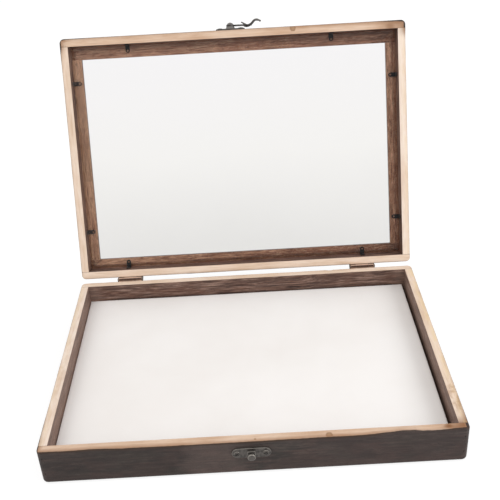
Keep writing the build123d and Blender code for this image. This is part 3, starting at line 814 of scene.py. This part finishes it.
def sand_board(mesh, node, seed, along_x, rim, sign):
    """Stores how sanded and burnt each place is, and eases the arris by it."""
    sanded_layer = mesh.verts.layers.float.new("sanded")
    burnt_layer = mesh.verts.layers.float.new("burnt")
    for vertex in mesh.verts:
        x, y, z = vertex.co
        s = x if along_x else y
        sand = between(SANDING[node], s)
        sand += 0.12 * ripple(s, seed, size=17)
        sand += 0.1 * ripple(s, seed + 3, size=5)
        burn = 0.15 + 0.25 * ripple(s, seed + 5, size=30) + sum_of(BURNING[node], s)
        vertex[sanded_layer] = sand
        vertex[burnt_layer] = max(0.0, min(1.0, burn))

        depth = sign * (z - rim)
        inset_x = HALF_WIDTH - abs(x)
        inset_y = HALF_DEPTH - abs(y)
        inset = min(inset_x, inset_y) if along_x else inset_x
        on_outer_side = max(abs(x) - INNER_X, abs(y) - INNER_Y) > 0.01
        if depth < EASED_DEPTH and inset < EASED_INSET and on_outer_side:
            near = max(0.0, 1 - (depth + inset) / EASED_REACH)
            toward = Vector((0, 0, sign))
            if inset_y < EASED_INSET and along_x:
                toward += Vector((0, -1 if y > 0 else 1, 0)) * EASED_SIDEWAYS
            if inset_x < EASED_INSET:
                toward += Vector((-1 if x > 0 else 1, 0, 0)) * EASED_SIDEWAYS
            vertex.co += toward * (max(0.0, sand + 0.2) * EASED_AMOUNT * near ** 1.5)


def sanded_board(node, body, seed, material):
    """A copy of a CAD board with finer faces, whose rim edge is eased unevenly."""
    on_lid = body == "lid"
    rim, sign = (LID_RIM, 1) if on_lid else (TRAY_RIM, -1)
    along_x = "front" in node or "rear" in node
    side = -1 if "front" in node or "left" in node else 1
    mesh = bmesh.new()
    mesh.from_mesh(NODES[node].data)
    bmesh.ops.remove_doubles(mesh, verts=mesh.verts, dist=WELD_METRES)
    for vertex in mesh.verts:
        vertex.co = closed_place(vertex.co) if on_lid else vertex.co / MM
    slice_board(mesh, along_x, side, rim, sign)
    sand_board(mesh, node, seed, along_x, rim, sign)
    for vertex in mesh.verts:
        vertex.co = open_place(vertex.co) if on_lid else vertex.co * MM
    piece = new_piece(mesh, node + "_sanded", BOARD_SHARP, material)
    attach(piece, body)
    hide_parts(node)


GRAINS = {
    "front": ("X", (1, 4, 2)),
    "rear": ("X", (31, 14, 22)),
    "left": ("Y", (11, 64, 42)),
    "right": ("Y", (71, 24, 12)),
}
BOARDS = {
    "tray_front_board": {
        "raw": RAW_FRONT,
        "spots": ((59.7, -118.4, 2.7, 0.9), (1.7, -118.5, 0.9, 0.8)),
        "stained_corners": ((171, -119, 26, 1.0), (154, -116, 5, 1.0), (-171, -121, 9, 0.5)),
        "shades": (
            (-110, 95, srgb(44, 32, 29), 0.4),
            (-31, 30, srgb(116, 98, 92), 0.3),
            (110, 85, srgb(72, 56, 53), 0.35),
        ),
    },
    "tray_rear_board": {"raw": RAW_SIDE},
    "tray_left_board": {
        "raw": RAW_PALE,
        "mottles": ((-168, -20, 70, 0.16),),
        "yellowed": 0.25,
    },
    "tray_right_board": {
        "raw": RAW_SIDE,
        "stained_corners": ((171, -119, 26, 1.0), (167, -121, 22, 0.9)),
        "mottles": ((169, -80, 30, 0.5),),
        "yellowed": 0.45,
    },
    "lid_front_rail": {
        "raw": RAW_FRONT,
        "spots": ((59.5, -119.0, 2.9, 0.9),),
        "stained_corners": ((170, -122, 34, 0.6), (155, -115, 6, 0.6), (-171, -121, 10, 0.7)),
    },
    "lid_rear_rail": {"raw": RAW_SIDE},
    "lid_left_rail": {"raw": RAW_SIDE},
    "lid_right_rail": {
        "raw": RAW_PALE,
        "stained_corners": ((171, -112, 13, 0.7),),
        "yellowed": 0.2,
    },
}
for board_seed, (board, looks) in enumerate(BOARDS.items()):
    board_body, board_side, _ = board.split("_")
    grain_along, grain_shift = GRAINS[board_side]
    wood_name = f"{board_body}_{board_side}_wood"
    wood = board_wood(wood_name, grain_along, shift=grain_shift, **looks)
    sanded_board(board, board_body, board_seed, wood)


# Pinning bed: a slab of foam whose top edge is soft and whose top is not quite flat

BED_COLUMNS, BED_ROWS = 110, 78
BED_ROUND = 1.2
BED_ROUND_STEPS = 5
BED_SIDE_STEPS = 5
BED_SHARP = radians(40)
# Its top lies so far below the CAD top on average, and waves up and down around that
BED_DIP = 0.16
BED_WAVE_LENGTH = 70
BED_WAVES, BED_RIPPLES = 0.12, 0.03


def bed_places(first, last, count):
    """Places along one side of the bed, closer together in the rounded edge."""
    steps = range(BED_ROUND_STEPS)
    arc = [first + BED_ROUND * (1 - cos(pi / 2 * k / BED_ROUND_STEPS)) for k in steps]
    flat = last - first - 2 * BED_ROUND
    middle = [first + BED_ROUND + flat * k / count for k in range(count + 1)]
    return arc + middle + [first + last - v for v in reversed(arc)]


def pinning_bed():
    """The bed as one closed mesh: a grid for its top, sides below its rim, and a flat base."""
    low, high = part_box("pinning_foam")
    low, high = low / MM, high / MM
    xs = bed_places(low.x, high.x, BED_COLUMNS)
    ys = bed_places(low.y, high.y, BED_ROWS)

    def top_height(x, y):
        into = min(x - low.x, high.x - x, y - low.y, high.y - y, BED_ROUND)
        drop = BED_ROUND - (BED_ROUND**2 - (BED_ROUND - into) ** 2) ** 0.5
        point = Vector((x / BED_WAVE_LENGTH, y / BED_WAVE_LENGTH, 3.3))
        wave = BED_WAVES * noise.noise(point) + BED_RIPPLES * noise.noise(point * 9)
        return high.z - BED_DIP + wave - drop

    mesh = bmesh.new()
    top = [[mesh.verts.new((x, y, top_height(x, y))) for x in xs] for y in ys]
    for near, far in zip(top, top[1:]):
        for i in range(len(xs) - 1):
            mesh.faces.new((near[i], near[i + 1], far[i + 1], far[i]))

    rim = top[0][:-1] + [row[-1] for row in top[:-1]]
    rim += top[-1][:0:-1] + [row[0] for row in top[:0:-1]]
    above = rim
    for level in range(1, BED_SIDE_STEPS + 1):
        share = level / BED_SIDE_STEPS
        below = []
        for vertex in rim:
            x, y, z = vertex.co
            below.append(mesh.verts.new((x, y, z + (low.z - z) * share)))
        for k in range(len(rim)):
            n = (k + 1) % len(rim)
            mesh.faces.new((above[k], below[k], below[n], above[n]))
        above = below
    mesh.faces.new(above[::-1])
    for vertex in mesh.verts:
        vertex.co *= MM

    piece = new_piece(mesh, "pinning_bed", BED_SHARP, foam_skin())
    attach(piece, "tray")
    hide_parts("pinning_foam")


pinning_bed()


# Materials of the pieces that keep their CAD shape

def assign(node, material):
    mesh = NODES[node].data
    mesh.materials.clear()
    mesh.materials.append(material)


NAIL_COLOURS = ((38, 33, 31), (60, 54, 50), (92, 86, 80))
# Whether it is on the lid, its dark, middle and worn colours, metallic, roughness; the worn
# colour is also a painted highlight
METALS = {
    "bronze_tray": (False, ((58, 54, 51), (88, 83, 79), (142, 136, 129)), 0.5, 0.45),
    "bronze_lid": (True, ((50, 47, 46), (78, 75, 73), (128, 124, 120)), 0.75, 0.42),
    "screw_head": (False, ((34, 31, 30), (58, 54, 52), (96, 90, 85)), 0.6, 0.45),
    # A lighter copy of the clip metal for the left clips: painted highlight
    "highlit_clip": (True, ((46, 40, 37), (86, 75, 70), (142, 130, 122)), 0.4, 0.5),
    "black_clip": (True, ((16, 15, 15), (28, 27, 27), (70, 66, 64)), 0.4, 0.45),
    "nail_tray": (False, NAIL_COLOURS, 0.8, 0.5),
    "nail_lid": (True, NAIL_COLOURS, 0.8, 0.5),
}
metals = {name: old_metal(name, *values) for name, values in METALS.items()}
metals["hinge_bronze"] = hinge_metal("hinge_bronze")

# Along which axis, the grain's shift, how much lighter at each end, how dark the painted
# shadow of the rail
STRIPS = {
    "front": ("X", (3, 1, 4), (0.07, -0.1), 0.35),
    "rear": ("X", (43, 21, 14), (0.04, -0.14), 0.35),
    "left": ("Y", (13, 51, 24), (0.19, 0.04), 0.0),
    "right": ("Y", (63, 11, 34), (0.06, -0.05), 0.4),
}


def metal_of(node, on_lid):
    """The metal of a node, by its name, or None where it isn't metal."""
    if node.startswith("glass_clip"):
        # The left clips get a lighter copy of the clip metal: painted highlight
        return "highlit_clip" if node.startswith("glass_clip_left") else "black_clip"
    if node.endswith(("_nails", "_brads")):
        return "nail_lid" if on_lid else "nail_tray"
    if node.startswith("hinge") and node.endswith("_leaf"):
        return "hinge_bronze"
    if node in ("catch_plate_screws", "latch_plate_screws"):
        return "screw_head"
    if node.startswith(("hinge", "latch", "catch")):
        return "bronze_lid" if on_lid else "bronze_tray"
    return None


for strip_side, values in STRIPS.items():
    assign(f"lip_{strip_side}_strip", strip_wood(f"strip_{strip_side}_wood", *values))
assign("glass_pane", window_glass())
assign("bottom_panel", plywood())
for node_name, thing in NODES.items():
    metal = metal_of(node_name, on_lid=thing["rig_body"] != "tray")
    if metal:
        assign(node_name, metals[metal])


# Floor, light and camera

SEEN = ("Camera", "Glossy", "Transmission")
MIDDLE = (0, 0.05, 0.08)
FLOOR_REACH = 6.0
FLOOR_Z = -0.0002


def studio_white():
    """White to the camera, with the soft shadow that falls on it."""
    g = material_graph("studio_floor")
    shown = g.join(
        "ShaderNodeAddShader",
        g.plain("ShaderNodeBsdfDiffuse", (0.30, 0.30, 0.30)),
        g.plain("ShaderNodeEmission", (1, 1, 1), 0.80),
    )
    plain = g.plain("ShaderNodeBsdfDiffuse", (0.82, 0.82, 0.82))
    g.show(g.join("ShaderNodeMixShader", g.rays(*SEEN), plain, shown))
    return g.owner


def studio_world():
    """Even light from all round that looks white itself."""
    world = bpy.data.worlds.new("studio")
    g = Graph(world, "ShaderNodeOutputWorld")
    lit = g.plain("ShaderNodeBackground", (1.0, 0.99, 0.98), 0.72)
    white = g.plain("ShaderNodeBackground", (1, 1, 1), 1.0)
    g.show(g.join("ShaderNodeMixShader", g.rays(*SEEN), lit, white))
    return world


def softbox(name, place, size, power, colour):
    """A square lamp that is aimed at the middle of the case."""
    lamp = bpy.data.lights.new(name, "AREA")
    lamp.shape = "RECTANGLE"
    lamp.size = lamp.size_y = size
    lamp.energy = power
    lamp.color = colour
    thing = bpy.data.objects.new(name, lamp)
    bpy.context.scene.collection.objects.link(thing)
    thing.location = place
    aim = Vector(MIDDLE) - Vector(place)
    thing.rotation_euler = aim.to_track_quat("-Z", "Y").to_euler()


floor_mesh = bpy.data.meshes.new("studio_floor")
floor_corners = ((-1, -1), (1, -1), (1, 1), (-1, 1))
floor_mesh.from_pydata(
    [(x * FLOOR_REACH, y * FLOOR_REACH, 0) for x, y in floor_corners], [], [(0, 1, 2, 3)]
)
floor_mesh.materials.append(studio_white())
floor = bpy.data.objects.new("studio_floor", floor_mesh)
bpy.context.scene.collection.objects.link(floor)
floor.location.z = FLOOR_Z

bpy.context.scene.world = studio_world()
softbox("key", (-0.9, -0.9, 1.6), 1.2, 7.5, (1.0, 0.985, 0.96))
softbox("fill", (1.2, -0.5, 0.9), 0.8, 7.5, (0.97, 0.985, 1.0))

# The photograph's camera: its place in millimetres, and its angles in radians
CAMERA_PLACE = (8.716, -590.880, 489.153)
AZIMUTH, ELEVATION, ROLL = 0.00477, 0.54011, -0.05883
LENS, SENSOR = 58.935, 36.0

back = Vector((
    sin(AZIMUTH) * cos(ELEVATION), -cos(AZIMUTH) * cos(ELEVATION), sin(ELEVATION)
))
level = Vector((cos(AZIMUTH), sin(AZIMUTH), 0))
upright = back.cross(level)
right = level * cos(ROLL) + upright * sin(ROLL)
up = upright * cos(ROLL) - level * sin(ROLL)
camera_data = bpy.data.cameras.new("camera")
camera_data.lens = LENS
camera_data.sensor_width = SENSOR
camera_data.clip_start = 0.01
camera = bpy.data.objects.new("camera", camera_data)
bpy.context.scene.collection.objects.link(camera)
facing = Matrix((right, up, back)).transposed()
camera.matrix_world = Matrix.Translation(Vector(CAMERA_PLACE) * MM) @ facing.to_4x4()
bpy.context.scene.camera = camera
bpy.context.scene.view_settings.view_transform = "Standard"
